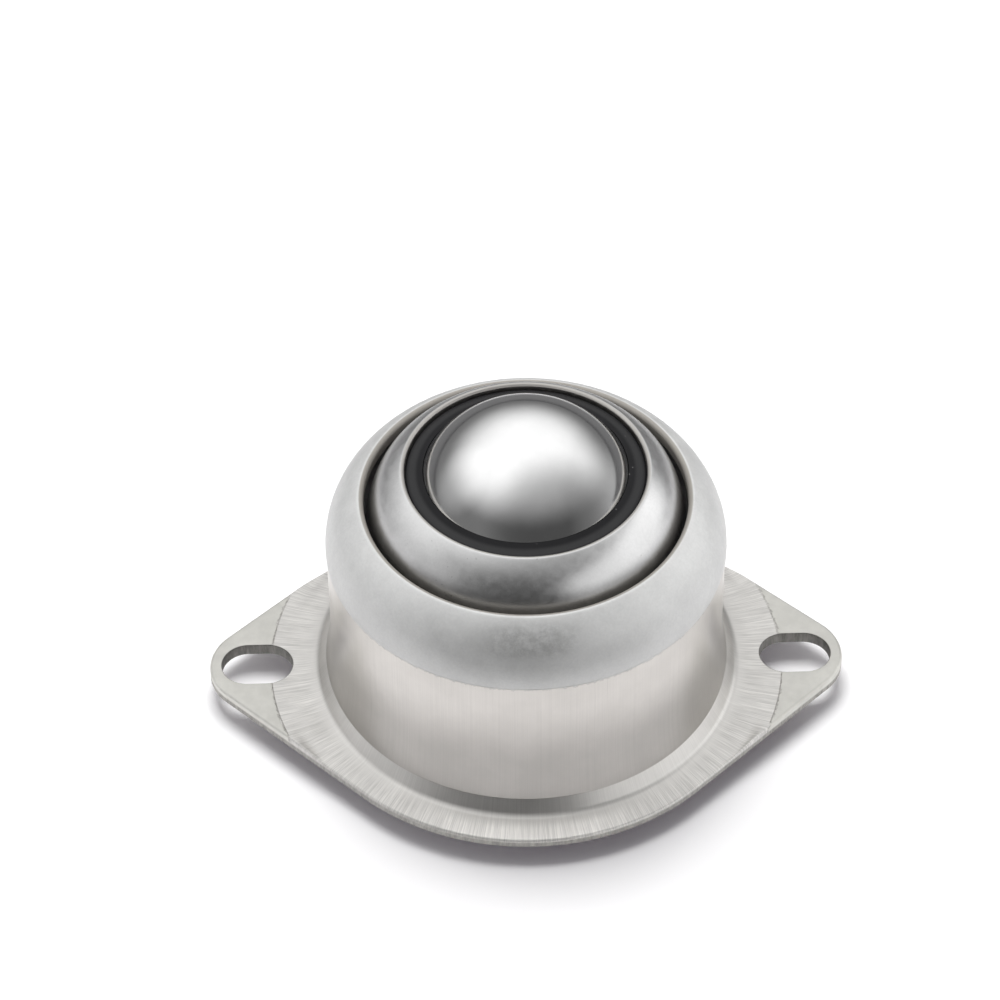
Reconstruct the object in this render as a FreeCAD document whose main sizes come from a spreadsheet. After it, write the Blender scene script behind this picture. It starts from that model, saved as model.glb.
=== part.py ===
import FreeCAD, Part

import math
import os

import Sketcher

# Spring-loaded ball transfer unit with a two-slot flange.
# Frame: origin at the centre of the flange's underside, +Z up the unit's axis,
# +X along the flange towards one of its slots. All lengths are in millimetres.
#
# A hat-shaped housing drawn from one sheet holds a smaller sealed capsule: a load ball
# on a bed of support balls in a hardened cup, closed by a drawn cap and a moulded seal.
# A conical spring on the base plate holds the capsule up against the housing's dome.

# Driving dimensions: name, value, what it is
SIZES = [
    ("ball_dia", 25.4, "load ball, one inch"),
    ("bed_ball_dia", 3.969, "support ball, 5/32 inch"),
    ("ball_gap", 0.03, "running gap on each side of the support balls"),
    ("bed_rows", 5, "rows of support balls above each other"),
    ("bed_row_gap", 0.25, "gap between two rows of support balls"),
    ("bed_ring_gap", 0.02, "least gap between two support balls in a row"),
    ("cup_wall", 1.5, "wall of the hardened cup"),
    ("cup_rim_drop", 2.8, "rim plane of the cup below the load ball's centre"),
    ("cup_flange", 1.15, "width of the cup's flange beyond its bowl"),
    ("cup_bend", 0.6, "bend between the bowl and the flange"),
    ("cap_sheet", 1.0, "sheet of the capsule's cap"),
    ("cap_crown", 9.2, "outer radius of the cap's crown, in section"),
    ("cap_bend", 0.5, "bend between the cap's wall and its brim"),
    ("cap_straight", 0.05, "straight wall between that bend and the crown"),
    ("cap_hole_dia", 26.4, "punched hole in the cap"),
    ("cap_lip_radius", 0.35, "rolled corner of that hole"),
    ("brim_corner", 0.6, "outer corners of the cap's brim"),
    ("hem_gap", 0.02, "gap between the cup's flange and the fold of the brim"),
    ("hem_reach", 1.6, "reach of the brim's hem under the cup's flange"),
    ("seal_gap", 0.05, "gap between the seal and the load ball"),
    ("seal_collar", 0.2, "height of the seal's collar in the cap's hole"),
    ("seal_corner", 0.12, "outer corner of the collar"),
    ("seal_slope", 0.45, "rise of the seal's top from its collar to its inner edge"),
    ("seal_hole_gap", 0.15, "groove between the collar and the cap's hole"),
    ("seal_seat_gap", 0.02, "gap between the seal's shoulder and the cap's crown"),
    ("housing_sheet", 1.5, "sheet of the housing"),
    ("bore_gap", 0.4, "gap between the cap's brim and the housing's bore"),
    ("dome_arc", 8.4, "outer radius of the dome, in section"),
    ("dome_skirt", 0.3, "straight skirt under the dome's arc"),
    ("dome_ledge", 0.1, "step from the ironed neck out to the dome"),
    ("dome_ledge_rise", 0.2, "height of that step"),
    ("stop_gap", 0.03, "gap between the brim's corner and the dome at the upper stop"),
    ("mouth_gap", 0.3, "gap between the capsule and the dome's punched hole"),
    ("mouth_lip_radius", 0.5, "rolled corner of the dome's punched hole"),
    ("flare_radius", 2.6, "radius from the neck to the flange, on top"),
    ("front_land", 2.05, "flange beyond the flare, on its short side"),
    ("coin_width", 4.5, "width of the coined ring round the flare"),
    ("coin_depth", 0.08, "depth of the coined ring"),
    ("coin_bevel", 0.15, "sloping outer edge of the coined ring"),
    ("slot_land", 1.95, "flange between the flare and a slot"),
    ("slot_width", 5.9, "width of a fixing slot"),
    ("slot_length", 8.1, "length of a fixing slot, end to end"),
    ("tip_land", 1.35, "flange between a slot and the flange's tip"),
    ("tip_radius", 6.1, "radius of the flange's two tips"),
    ("edge_radius", 0.4, "rolled upper edge of the flange"),
    ("slot_edge_radius", 0.15, "rolled upper edge of a slot"),
    ("base_recess", 0.2, "base plate above the flange's underside"),
    ("base_sheet", 1.5, "thickness of the base plate"),
    ("base_gap", 0.01, "gap between the base plate and the flare that stops it"),
    ("base_edge", 0.3, "bevel on the lower edge of the base plate"),
    ("stroke", 4.0, "travel of the capsule against its spring"),
    ("stroke_reserve", 1.72, "room left under the cup at full travel"),
    ("wire_dia", 3.0, "spring wire"),
    ("foot_gap", 0.6, "gap between the spring's lower coil and the housing's bore"),
    ("top_coil_dia", 23.0, "mean diameter of the spring's upper coil"),
    ("spring_gap", 0.01, "gap between the spring and what it bears on"),
    ("half_turns", 4, "rising half turns of the spring, a whole number"),
    ("flat_arc", 115, "arc of the spring's flat ends, in degrees"),
]

# Dimensions worked out from the driving ones: name, formula, what it is
FITS = [
    ("ball_rad", "Sizes.ball_dia / 2", "load ball, radius"),
    ("bed_rad", "Sizes.bed_ball_dia / 2", "support ball, radius"),
    ("bed_orbit", "ball_rad + bed_rad + Sizes.ball_gap", "centre of a support ball from the load ball's"),
    ("bed_step", "2 * asin((bed_rad + Sizes.bed_row_gap / 2) / bed_orbit)", "angle from row to row"),
    ("bowl_in", "ball_rad + Sizes.bed_ball_dia + 2 * Sizes.ball_gap", "bowl of the cup, inner radius"),
    ("bowl_out", "bowl_in + Sizes.cup_wall", "bowl of the cup, outer radius"),
    ("base_top", "Sizes.base_recess + Sizes.base_sheet", "top of the base plate, height"),
    ("ball_z", "base_top + Sizes.stroke + Sizes.stroke_reserve + bowl_out", "load ball's centre, height"),
    ("rim_z", "ball_z - Sizes.cup_rim_drop", "rim plane of the cup, height"),
    ("flange_z", "rim_z - Sizes.cup_wall", "underside of the cup's flange, height"),
    ("rim_in", "sqrt(bowl_in ^ 2 - Sizes.cup_rim_drop ^ 2)", "bowl at the rim, inner radius"),
    ("flange_root", "sqrt(bowl_out ^ 2 - (ball_z - flange_z) ^ 2)", "bowl under the flange, radius"),
    ("flange_rad", "sqrt(bowl_out ^ 2 - Sizes.cup_rim_drop ^ 2) + Sizes.cup_flange",
     "edge of the cup's flange, radius"),
    ("cap_rad", "rim_in + Sizes.cap_sheet", "wall of the cap, outer radius"),
    ("fold_in", "flange_rad + Sizes.hem_gap", "fold of the brim, inner radius"),
    ("brim_rad", "fold_in + Sizes.cap_sheet", "brim, outer radius"),
    ("brim_z", "rim_z + Sizes.cap_sheet", "top of the brim, height"),
    ("hem_z", "flange_z - Sizes.cap_sheet", "underside of the hem, height"),
    ("hem_rad", "brim_rad - Sizes.hem_reach", "hem, inner radius"),
    ("crown_z", "brim_z + Sizes.cap_bend + Sizes.cap_straight", "centre of the crown's arc, height"),
    ("crown_x", "cap_rad - Sizes.cap_crown", "centre of the crown's arc, radius"),
    ("crown_in", "Sizes.cap_crown - Sizes.cap_sheet", "crown's inner arc"),
    ("hole_rad", "Sizes.cap_hole_dia / 2", "hole of the cap, radius"),
    ("roll_x", "hole_rad + Sizes.cap_lip_radius", "centre of the hole's rolled corner, radius"),
    ("roll_z", "crown_z + sqrt((Sizes.cap_crown - Sizes.cap_lip_radius) ^ 2 - (roll_x - crown_x) ^ 2)",
     "centre of the hole's rolled corner, height"),
    ("roll_part", "Sizes.cap_crown / (Sizes.cap_crown - Sizes.cap_lip_radius)",
     "crown's arc over the orbit of the rolled corner"),
    ("wipe_rad", "ball_rad + Sizes.seal_gap", "seal's round seat for the load ball"),
    ("shoulder", "crown_in - Sizes.seal_seat_gap", "arc of the seal's shoulder"),
    ("collar_rad", "hole_rad - Sizes.seal_hole_gap", "seal's collar, radius"),
    ("collar_foot_z", "crown_z + sqrt(shoulder ^ 2 - (collar_rad - crown_x) ^ 2)",
     "foot of the seal's collar, height"),
    ("collar_z", "collar_foot_z + Sizes.seal_collar", "seal's collar, height"),
    ("seal_top", "collar_z + Sizes.seal_slope", "seal's inner edge, height"),
    ("seal_in", "sqrt(wipe_rad ^ 2 - (seal_top - ball_z) ^ 2)", "seal's inner edge, radius"),
    ("bore_rad", "brim_rad + Sizes.bore_gap", "bore of the housing, radius"),
    ("neck_rad", "bore_rad + Sizes.housing_sheet", "neck of the housing, radius"),
    ("dome_edge", "neck_rad + Sizes.dome_ledge", "dome, largest radius"),
    ("dome_x", "dome_edge - Sizes.dome_arc", "centre of the dome's arc, radius"),
    ("dome_in", "Sizes.dome_arc - Sizes.housing_sheet", "dome's inner arc"),
    ("dome_z", "brim_z - Sizes.brim_corner - sqrt((dome_in - Sizes.brim_corner - Sizes.stop_gap) ^ 2"
     " - (brim_rad - Sizes.brim_corner - dome_x) ^ 2)", "centre of the dome's arc, height"),
    ("step_z", "dome_z - Sizes.dome_skirt", "top of the step to the neck, height"),
    ("mouth_rad", "cap_rad + Sizes.mouth_gap", "punched hole of the dome, radius"),
    ("lip_x", "mouth_rad + Sizes.mouth_lip_radius", "centre of that hole's rolled corner, radius"),
    ("lip_z", "dome_z + sqrt((Sizes.dome_arc - Sizes.mouth_lip_radius) ^ 2 - (lip_x - dome_x) ^ 2)",
     "centre of that hole's rolled corner, height"),
    ("lip_part", "Sizes.dome_arc / (Sizes.dome_arc - Sizes.mouth_lip_radius)",
     "dome's arc over the orbit of the rolled corner"),
    ("coin_z", "Sizes.housing_sheet - Sizes.coin_depth", "coined ring, height"),
    ("flare_x", "neck_rad + Sizes.flare_radius", "centre of the flare's upper arc, radius"),
    ("flare_z", "coin_z + Sizes.flare_radius", "centre of the flare's two arcs, height"),
    ("under_x", "bore_rad + flare_z", "centre of the flare's lower arc, radius"),
    ("front_rad", "flare_x + Sizes.front_land", "front and back of the flange, radius"),
    ("coin_rad", "flare_x + Sizes.coin_width", "coined ring, outer radius"),
    ("slot_x", "flare_x + Sizes.slot_land + Sizes.slot_length / 2", "centre of a slot"),
    ("slot_arc_x", "(Sizes.slot_length - Sizes.slot_width) / 2", "end arc of a slot from its centre"),
    ("tip_x", "slot_x + Sizes.slot_length / 2 + Sizes.tip_land - Sizes.tip_radius", "centre of a tip's arc"),
    ("base_rad", "under_x - sqrt(flare_z ^ 2 - (flare_z - base_top) ^ 2) - Sizes.base_gap",
     "base plate, radius"),
    ("wire_rad", "Sizes.wire_dia / 2", "spring wire, radius"),
    ("foot_rad", "bore_rad - Sizes.foot_gap - wire_rad", "lower coil of the spring, mean radius"),
    ("foot_z", "base_top + wire_rad + Sizes.spring_gap", "lower coil of the spring, height"),
    ("top_rad", "Sizes.top_coil_dia / 2", "upper coil of the spring, mean radius"),
    ("top_z", "ball_z - sqrt((bowl_out + wire_rad + Sizes.spring_gap) ^ 2 - top_rad ^ 2)",
     "upper coil of the spring, height"),
]

CIRCLE = 360
# How a sketch names its origin, its two axes, and the start, end and centre of a curve
START, END, CENTRE = range(1, 4)
H_AXIS, V_AXIS = range(-1, -3, -1)
ORIGIN = (H_AXIS, START)
LEVEL = 1e-4
# Rows of support balls that are exported ball by ball; each longer row is one group
SINGLE_ROWS = 3

doc = FreeCAD.newDocument("ball_transfer_unit")


def add_sheet(name, rows):
    """Spreadsheet with a note in column A and the value, under its name, in column B."""
    sheet = doc.addObject("Spreadsheet::Sheet", name)
    for number, (alias, content, note) in enumerate(rows, start=1):
        sheet.set("A%d" % number, note)
        sheet.setAlias("B%d" % number, alias)
        sheet.set("B%d" % number, str(content))
    doc.recompute()
    return sheet


sizes = add_sheet("Sizes", SIZES)
fits = add_sheet("Fits", [(alias, "=" + formula, note) for alias, formula, note in FITS])


def in_fits(expression):
    """The expression with each worked-out name led by its sheet."""
    names = {alias for alias, _, _ in FITS}
    done, word = "", ""
    for sign in expression + " ":
        if sign.isalnum() or sign in "_.":
            word += sign
        else:
            done += ("Fits." + word if word in names else word) + sign
            word = ""
    return done.strip()


def value(expression):
    """Number that an expression over the two sheets has now, in millimetres or degrees."""
    result = fits.evalExpression(in_fits(expression))
    return float(getattr(result, "Value", result))


def vector(x, y):
    """Sketch point at two expressions."""
    return FreeCAD.Vector(value(x), value(y), 0)


def circle(centre, radius):
    """Circle in the sketch plane."""
    return Part.Circle(centre, FreeCAD.Vector(0, 0, 1), radius)


def new_body(label):
    """Body of one sub-part; the label names the sub-part and its file."""
    body = doc.addObject("PartDesign::Body", "Body_" + label)
    body.Label = label
    return body


def plane_of(body, role):
    """One of the body's own origin planes."""
    return next(item for item in body.Origin.OriginFeatures if item.Role == role)


def new_sketch(body, name, plane="XZ_Plane"):
    """Empty sketch on one of the body's own origin planes."""
    sketch = body.newObject("Sketcher::SketchObject", name)
    sketch.AttachmentSupport = [(plane_of(body, plane), "")]
    sketch.MapMode = "FlatFace"
    return sketch


def bind(sketch, kind, geometry, expression):
    """Dimension of a sketch that follows an expression."""
    index = sketch.addConstraint(Sketcher.Constraint(kind, *geometry, value(expression)))
    sketch.setExpression("Constraints[%d]" % index, in_fits(expression))


def hold(sketch, point, x, y):
    """Hold a point of the sketch at (x, y); a coordinate that is None stays free."""
    for kind, axis, expression in (("DistanceX", V_AXIS, x), ("DistanceY", H_AXIS, y)):
        if expression == "0":
            sketch.addConstraint(Sketcher.Constraint("PointOnObject", *point, axis))
        elif expression is not None:
            bind(sketch, kind, ORIGIN + point, expression)


def line(x, y):
    """Straight step of a profile, to the corner (x, y)."""
    return (x, y), None, None


def arc(x, y, centre, free):
    """Round step of a profile, to the corner (x, y), whose coordinate named by free follows."""
    return (x, y), centre, free


def profile(body, name, start, steps):
    """Closed profile in the XZ plane, with every corner and centre bound to the sheets."""
    sketch = new_sketch(body, name)
    corners = [start] + [corner for corner, _, _ in steps]
    free = [steps[-1][2]] + [step_free for _, _, step_free in steps]
    points = [vector(*corner) for corner in corners]
    edges = []
    for number, (_, centre, _) in enumerate(steps):
        first, last = points[number], points[number + 1]
        if centre is None:
            edge = sketch.addGeometry(Part.LineSegment(first, last))
            edges.append(((edge, START), (edge, END)))
            continue
        middle = vector(*centre)
        turns_left = (first - middle).cross(last - middle).z > 0
        ends = (first, last) if turns_left else (last, first)
        angles = [math.atan2(end.y - middle.y, end.x - middle.x) for end in ends]
        edge = sketch.addGeometry(Part.ArcOfCircle(circle(middle, (first - middle).Length), *angles))
        ends = ((edge, START), (edge, END))
        edges.append(ends if turns_left else ends[::-1])
        hold(sketch, (edge, CENTRE), *centre)
    for number, (begin, _) in enumerate(edges):
        sketch.addConstraint(Sketcher.Constraint("Coincident", *edges[number - 1][1], *begin))
        x, y = corners[number]
        hold(sketch, begin, None if free[number] == "x" else x, None if free[number] == "y" else y)
    return sketch


def feature(body, kind, name, **settings):
    """Feature of a body, set up and computed; it becomes the body's tip."""
    item = body.newObject("PartDesign::" + kind, name)
    for key, setting in settings.items():
        setattr(item, key, setting)
    body.Tip = item
    doc.recompute()
    return item


def turn(body, sketch, kind="Revolution", angle=CIRCLE, **settings):
    """Sketch turned about its own vertical axis."""
    return feature(body, kind, kind + sketch.Name, Profile=sketch, ReferenceAxis=(sketch, ["V_Axis"]),
                   Angle=angle, **settings)


def fillet(body, base, edges, size):
    """Fillet on the named edges of the body's last feature."""
    item = feature(body, "Fillet", "Fillet" + size, Base=(base, edges))
    item.setExpression("Radius", "Sizes." + size)
    doc.recompute()
    return item


def level_edges(shape, height, wanted):
    """Names of the edges that lie at a height and whose middle is wanted."""
    names = []
    for number, edge in enumerate(shape.Edges, start=1):
        box = edge.BoundBox
        middle = edge.valueAt((edge.FirstParameter + edge.LastParameter) / 2)
        if max(abs(box.ZMin - height), abs(box.ZMax - height)) < LEVEL and wanted(middle):
            names.append("Edge%d" % number)
    return names


def check_cut(before, after):
    """A cut that points away from its solid takes nothing off, and that is an error."""
    if not after.Shape.Volume < before.Shape.Volume:
        raise RuntimeError(after.Label + " cuts nothing")


def blank_outline(body):
    """Flange blank: two small tip arcs and two large side arcs, joined by their tangents."""
    sketch = new_sketch(body, "Blank", "XY_Plane")
    tip_x, tip_rad, front = value("tip_x"), value("Sizes.tip_radius"), value("front_rad")
    lean = math.acos((front - tip_rad) / tip_x)
    spans = [
        (tip_x, tip_rad, -lean, lean, "tip_x", "Sizes.tip_radius"),
        (0, front, lean, math.pi - lean, "0", "front_rad"),
        (-tip_x, tip_rad, math.pi - lean, math.pi + lean, "-tip_x", "Sizes.tip_radius"),
        (0, front, math.pi + lean, 2 * math.pi - lean, "0", "front_rad"),
    ]
    arcs = []
    for x, radius, begin, finish, centre, size in spans:
        edge = sketch.addGeometry(Part.ArcOfCircle(circle(FreeCAD.Vector(x, 0, 0), radius), begin, finish))
        hold(sketch, (edge, CENTRE), centre, "0")
        bind(sketch, "Radius", (edge,), size)
        arcs.append(edge)
    for first, second in zip(arcs, arcs[1:] + arcs[:1]):
        begin, finish = sketch.getPoint(first, END), sketch.getPoint(second, START)
        side = sketch.addGeometry(Part.LineSegment(begin, finish))
        sketch.addConstraint(Sketcher.Constraint("Tangent", first, END, side, START))
        sketch.addConstraint(Sketcher.Constraint("Tangent", side, END, second, START))
    opening = sketch.addGeometry(circle(FreeCAD.Vector(0, 0, 0), value("flare_x")))
    hold(sketch, (opening, CENTRE), "0", "0")
    bind(sketch, "Radius", (opening,), "flare_x")
    return sketch


def slot_outline(body):
    """One fixing slot: two half-round ends joined by straight sides."""
    sketch = new_sketch(body, "SlotOutline", "XY_Plane")
    half = value("Sizes.slot_width / 2")
    outer, inner = vector("slot_x + slot_arc_x", "0"), vector("slot_x - slot_arc_x", "0")
    up = FreeCAD.Vector(0, half, 0)
    quarter = math.pi / 2
    far = sketch.addGeometry(Part.ArcOfCircle(circle(outer, half), -quarter, quarter))
    back = sketch.addGeometry(Part.LineSegment(outer + up, inner + up))
    near = sketch.addGeometry(Part.ArcOfCircle(circle(inner, half), quarter, 3 * quarter))
    front = sketch.addGeometry(Part.LineSegment(inner - up, outer - up))
    for first, second in ((far, back), (back, near), (near, front), (front, far)):
        sketch.addConstraint(Sketcher.Constraint("Tangent", first, END, second, START))
    hold(sketch, (far, CENTRE), "slot_x + slot_arc_x", "0")
    hold(sketch, (near, CENTRE), "slot_x - slot_arc_x", "0")
    bind(sketch, "Radius", (far,), "Sizes.slot_width / 2")
    return sketch


def build_housing():
    """Flange, flare, ironed neck and curled-in dome, drawn from one sheet."""
    body = new_body("housing")
    plate = feature(body, "Pad", "Flange", Profile=blank_outline(body))
    plate.setExpression("Length", "Sizes.housing_sheet")
    doc.recompute()
    slot = feature(body, "Pocket", "Slot", Profile=slot_outline(body), Type="ThroughAll", Midplane=True)
    check_cut(plate, slot)
    mirror = (plane_of(body, "YZ_Plane"), [""])
    pair = feature(body, "Mirrored", "Slots", Originals=[slot], MirrorPlane=mirror)

    top, flare, middle = value("Sizes.housing_sheet"), value("flare_x"), value("slot_x")
    reach = value("Sizes.slot_length / 2") + LEVEL

    def on_slot(point):
        return math.hypot(abs(point.x) - middle, point.y) < reach

    def on_outline(point):
        return math.hypot(point.x, point.y) > flare + LEVEL and not on_slot(point)

    rolled = fillet(body, pair, level_edges(pair.Shape, top, on_outline), "edge_radius")
    rolled = fillet(body, rolled, level_edges(rolled.Shape, top, on_slot), "slot_edge_radius")

    # The blank holder leaves a shallow ring round the flare, burnished and slightly thinner
    ring = profile(body, "CoinedRing", ("neck_rad", "coin_z"), [
        line("coin_rad - Sizes.coin_bevel", "coin_z"),
        line("coin_rad", "Sizes.housing_sheet"),
        line("coin_rad", "2 * Sizes.housing_sheet"),
        line("neck_rad", "2 * Sizes.housing_sheet"),
        line("neck_rad", "coin_z"),
    ])
    coined = turn(body, ring, "Groove")
    check_cut(rolled, coined)

    hat = profile(body, "HatSection", ("flare_x", "0"), [
        line("flare_x", "coin_z"),
        arc("neck_rad", "flare_z", ("flare_x", "flare_z"), "x"),
        line("neck_rad", "step_z - Sizes.dome_ledge_rise"),
        line("dome_edge", "step_z"),
        line("dome_edge", "dome_z"),
        arc("dome_x + (lip_x - dome_x) * lip_part", "dome_z + (lip_z - dome_z) * lip_part",
            ("dome_x", "dome_z"), "y"),
        arc("mouth_rad", "lip_z", ("lip_x", "lip_z"), "x"),
        line("mouth_rad", "dome_z + sqrt(dome_in ^ 2 - (mouth_rad - dome_x) ^ 2)"),
        arc("dome_edge - Sizes.housing_sheet", "dome_z", ("dome_x", "dome_z"), "x"),
        line("dome_edge - Sizes.housing_sheet", "step_z"),
        line("bore_rad", "step_z - Sizes.dome_ledge_rise"),
        line("bore_rad", "flare_z"),
        arc("under_x", "0", ("under_x", "flare_z"), "y"),
        line("flare_x", "0"),
    ])
    turn(body, hat)
    return body


def build_base_plate():
    """Disc that closes the housing from below and carries the spring."""
    body = new_body("base_plate")
    section = profile(body, "PlateSection", ("0", "Sizes.base_recess"), [
        line("base_rad - Sizes.base_edge", "Sizes.base_recess"),
        line("base_rad", "Sizes.base_recess + Sizes.base_edge"),
        line("base_rad", "base_top"),
        line("0", "base_top"),
        line("0", "Sizes.base_recess"),
    ])
    turn(body, section)
    return body


def wire_section(body, name, x, z):
    """Round section of the spring wire, centred at (x, z)."""
    sketch = new_sketch(body, name)
    edge = sketch.addGeometry(circle(vector(x, z), value("wire_rad")))
    hold(sketch, (edge, CENTRE), x, z)
    bind(sketch, "Radius", (edge,), "wire_rad")
    return sketch


def add_axis(sketch, first, last):
    """Construction line that starts halfway between two points and stands square to their line."""
    middle = ["(%s + %s) / 2" % pair for pair in zip(first, last)]
    end = ["%s + %s - %s" % (middle[0], last[1], first[1]), "%s + %s - %s" % (middle[1], first[0], last[0])]
    edge = sketch.addGeometry(Part.LineSegment(vector(*middle), vector(*end)), True)
    hold(sketch, (edge, START), *middle)
    hold(sketch, (edge, END), *end)


def build_spring():
    """Conical compression spring: half turns that rise and narrow step by step, and flat ends."""
    body = new_body("spring")
    count = int(value("Sizes.half_turns"))
    joints = []
    for number in range(count + 1):
        part = "%d / Sizes.half_turns" % number
        side = "-" if number % 2 else ""
        joints.append(("%s(foot_rad + (top_rad - foot_rad) * %s)" % (side, part),
                       "(foot_z + (top_z - foot_z) * %s)" % part))
    foot = turn(body, wire_section(body, "FootEnd", *joints[0]), Reversed=True)
    foot.setExpression("Angle", "Sizes.flat_arc")
    for number, (first, last) in enumerate(zip(joints, joints[1:]), start=1):
        sketch = wire_section(body, "HalfTurn%d" % number, *first)
        add_axis(sketch, first, last)
        outwards = number % 2 == 0
        feature(body, "Revolution", "Rise%d" % number, Profile=sketch, ReferenceAxis=(sketch, ["Axis0"]),
                Angle=CIRCLE / 2, Reversed=outwards)
    top = turn(body, wire_section(body, "TopEnd", *joints[-1]))
    top.setExpression("Angle", "Sizes.flat_arc")
    doc.recompute()
    return body


def build_cup():
    """Hardened bowl that the support balls run in, with a flange round its rim."""
    body = new_body("bearing_cup")
    section = profile(body, "CupSection", ("0", "ball_z - bowl_in"), [
        arc("rim_in", "rim_z", ("0", "ball_z"), "x"),
        line("flange_rad", "rim_z"),
        line("flange_rad", "flange_z"),
        line("flange_root", "flange_z"),
        arc("0", "ball_z - bowl_out", ("0", "ball_z"), "y"),
        line("0", "ball_z - bowl_in"),
    ])
    bowl = turn(body, section)
    root = value("flange_root") + LEVEL

    def at_root(point):
        return math.hypot(point.x, point.y) < root

    fillet(body, bowl, level_edges(bowl.Shape, value("flange_z"), at_root), "cup_bend")
    return body


def build_cap():
    """Drawn cap: punched and rolled hole, crown, wall, and a brim hemmed round the cup's flange."""
    body = new_body("capsule_cap")
    section = profile(body, "CapSection", ("hole_rad", "roll_z"), [
        line("hole_rad", "crown_z + sqrt(crown_in ^ 2 - (hole_rad - crown_x) ^ 2)"),
        arc("rim_in", "crown_z", ("crown_x", "crown_z"), "x"),
        line("rim_in", "rim_z"),
        line("fold_in", "rim_z"),
        line("fold_in", "flange_z"),
        line("hem_rad", "flange_z"),
        line("hem_rad", "hem_z"),
        line("brim_rad - Sizes.brim_corner", "hem_z"),
        arc("brim_rad", "hem_z + Sizes.brim_corner",
            ("brim_rad - Sizes.brim_corner", "hem_z + Sizes.brim_corner"), "x"),
        line("brim_rad", "brim_z - Sizes.brim_corner"),
        arc("brim_rad - Sizes.brim_corner", "brim_z",
            ("brim_rad - Sizes.brim_corner", "brim_z - Sizes.brim_corner"), "y"),
        line("cap_rad + Sizes.cap_bend", "brim_z"),
        arc("cap_rad", "brim_z + Sizes.cap_bend",
            ("cap_rad + Sizes.cap_bend", "brim_z + Sizes.cap_bend"), "x"),
        line("cap_rad", "crown_z"),
        arc("crown_x + (roll_x - crown_x) * roll_part", "crown_z + (roll_z - crown_z) * roll_part",
            ("crown_x", "crown_z"), "y"),
        arc("hole_rad", "roll_z", ("roll_x", "roll_z"), "x"),
    ])
    turn(body, section)
    return body


def build_seal():
    """Moulded ring under the crown that wipes the load ball and keeps it in the capsule."""
    body = new_body("seal_ring")
    section = profile(body, "SealSection", ("wipe_rad", "ball_z"), [
        arc("seal_in", "seal_top", ("0", "ball_z"), "x"),
        line("collar_rad - Sizes.seal_corner", "collar_z"),
        arc("collar_rad", "collar_z - Sizes.seal_corner",
            ("collar_rad - Sizes.seal_corner", "collar_z - Sizes.seal_corner"), "x"),
        line("collar_rad", "collar_foot_z"),
        arc("crown_x + sqrt(shoulder ^ 2 - (ball_z - crown_z) ^ 2)", "ball_z", ("crown_x", "crown_z"), "x"),
        line("wipe_rad", "ball_z"),
    ])
    turn(body, section)
    return body


def new_ball(name, size, x, y, z):
    """Ball with its diameter and its centre bound to the sheets."""
    ball = doc.addObject("Part::Sphere", name)
    ball.Label = name
    ball.setExpression("Radius", size)
    for axis, expression in (("x", x), ("y", y), ("z", z)):
        ball.setExpression("Placement.Base." + axis, in_fits(expression))
    return ball


def row_place(row):
    """Radius and height of the centres of a row of support balls."""
    return "bed_orbit * sin(%d * bed_step)" % row, "ball_z - bed_orbit * cos(%d * bed_step)" % row


def row_count(row):
    """How many support balls fit side by side in a row; the lowest row is one ball."""
    if row == 0:
        return 1
    radius = value(row_place(row)[0])
    return math.floor(math.pi / math.asin(value("bed_rad + Sizes.bed_ring_gap / 2") / radius))


def build_row(row, names):
    """One row of support balls, turned by half a ball against the row below."""
    radius, height = row_place(row)
    balls = []
    for place, name in enumerate(names):
        heading = CIRCLE * (place + row / 2) / len(names)
        x, y = ("%s * %s(%r deg)" % (radius, side, heading) for side in ("cos", "sin"))
        balls.append(new_ball(name, "Sizes.bed_ball_dia / 2", x, y, height))
    return balls


def build_bed():
    """Support balls in rows up the bowl, from one ball at its lowest point."""
    parts = []
    for row in range(int(value("Sizes.bed_rows"))):
        places = range(1, row_count(row) + 1)
        if row < SINGLE_ROWS:
            parts += build_row(row, ["support_ball_%02d" % (len(parts) + place) for place in places])
            continue
        group = doc.addObject("Part::Compound", "Row_%d" % row)
        group.Label = "support_balls_row_%d" % row
        group.Links = build_row(row, ["row_%d_ball_%02d" % (row, place) for place in places])
        parts.append(group)
    return parts


def build():
    """All sub-parts, in the order in which the unit goes together."""
    parts = [build_housing(), build_cap(), build_seal()]
    parts.append(new_ball("load_ball", "Sizes.ball_dia / 2", "0", "0", "ball_z"))
    parts += build_bed()
    parts += [build_cup(), build_spring(), build_base_plate()]
    doc.recompute()
    return parts


def check(parts):
    """Stop if an object of the document has failed or a sub-part isn't a valid solid."""
    for item in doc.Objects:
        if "Invalid" in item.State or "Error" in item.State:
            raise RuntimeError("%s is in state %s" % (item.Label, item.State))
    for part in parts:
        shape = part.Shape
        if shape.isNull() or not shape.isValid() or not shape.Solids:
            raise RuntimeError(part.Label + " has no valid solid")


def write(parts):
    """One file for each sub-part, named after its label."""
    os.makedirs("parts", exist_ok=True)
    for part in parts:
        part.Shape.exportStep("parts/%s.step" % part.Label)
        print("%-22s %2d solids %10.2f mm3" % (part.Label, len(part.Shape.Solids), part.Shape.Volume))


sub_parts = build()
check(sub_parts)
write(sub_parts)
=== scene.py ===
"""Spring-loaded ball transfer unit: the looks of its pieces on a white studio table."""

import math

import bmesh
import bpy
from bpy.props import FloatProperty, FloatVectorProperty, IntProperty, PointerProperty
from mathutils import Matrix, Vector
from mathutils.geometry import delaunay_2d_cdt


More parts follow.
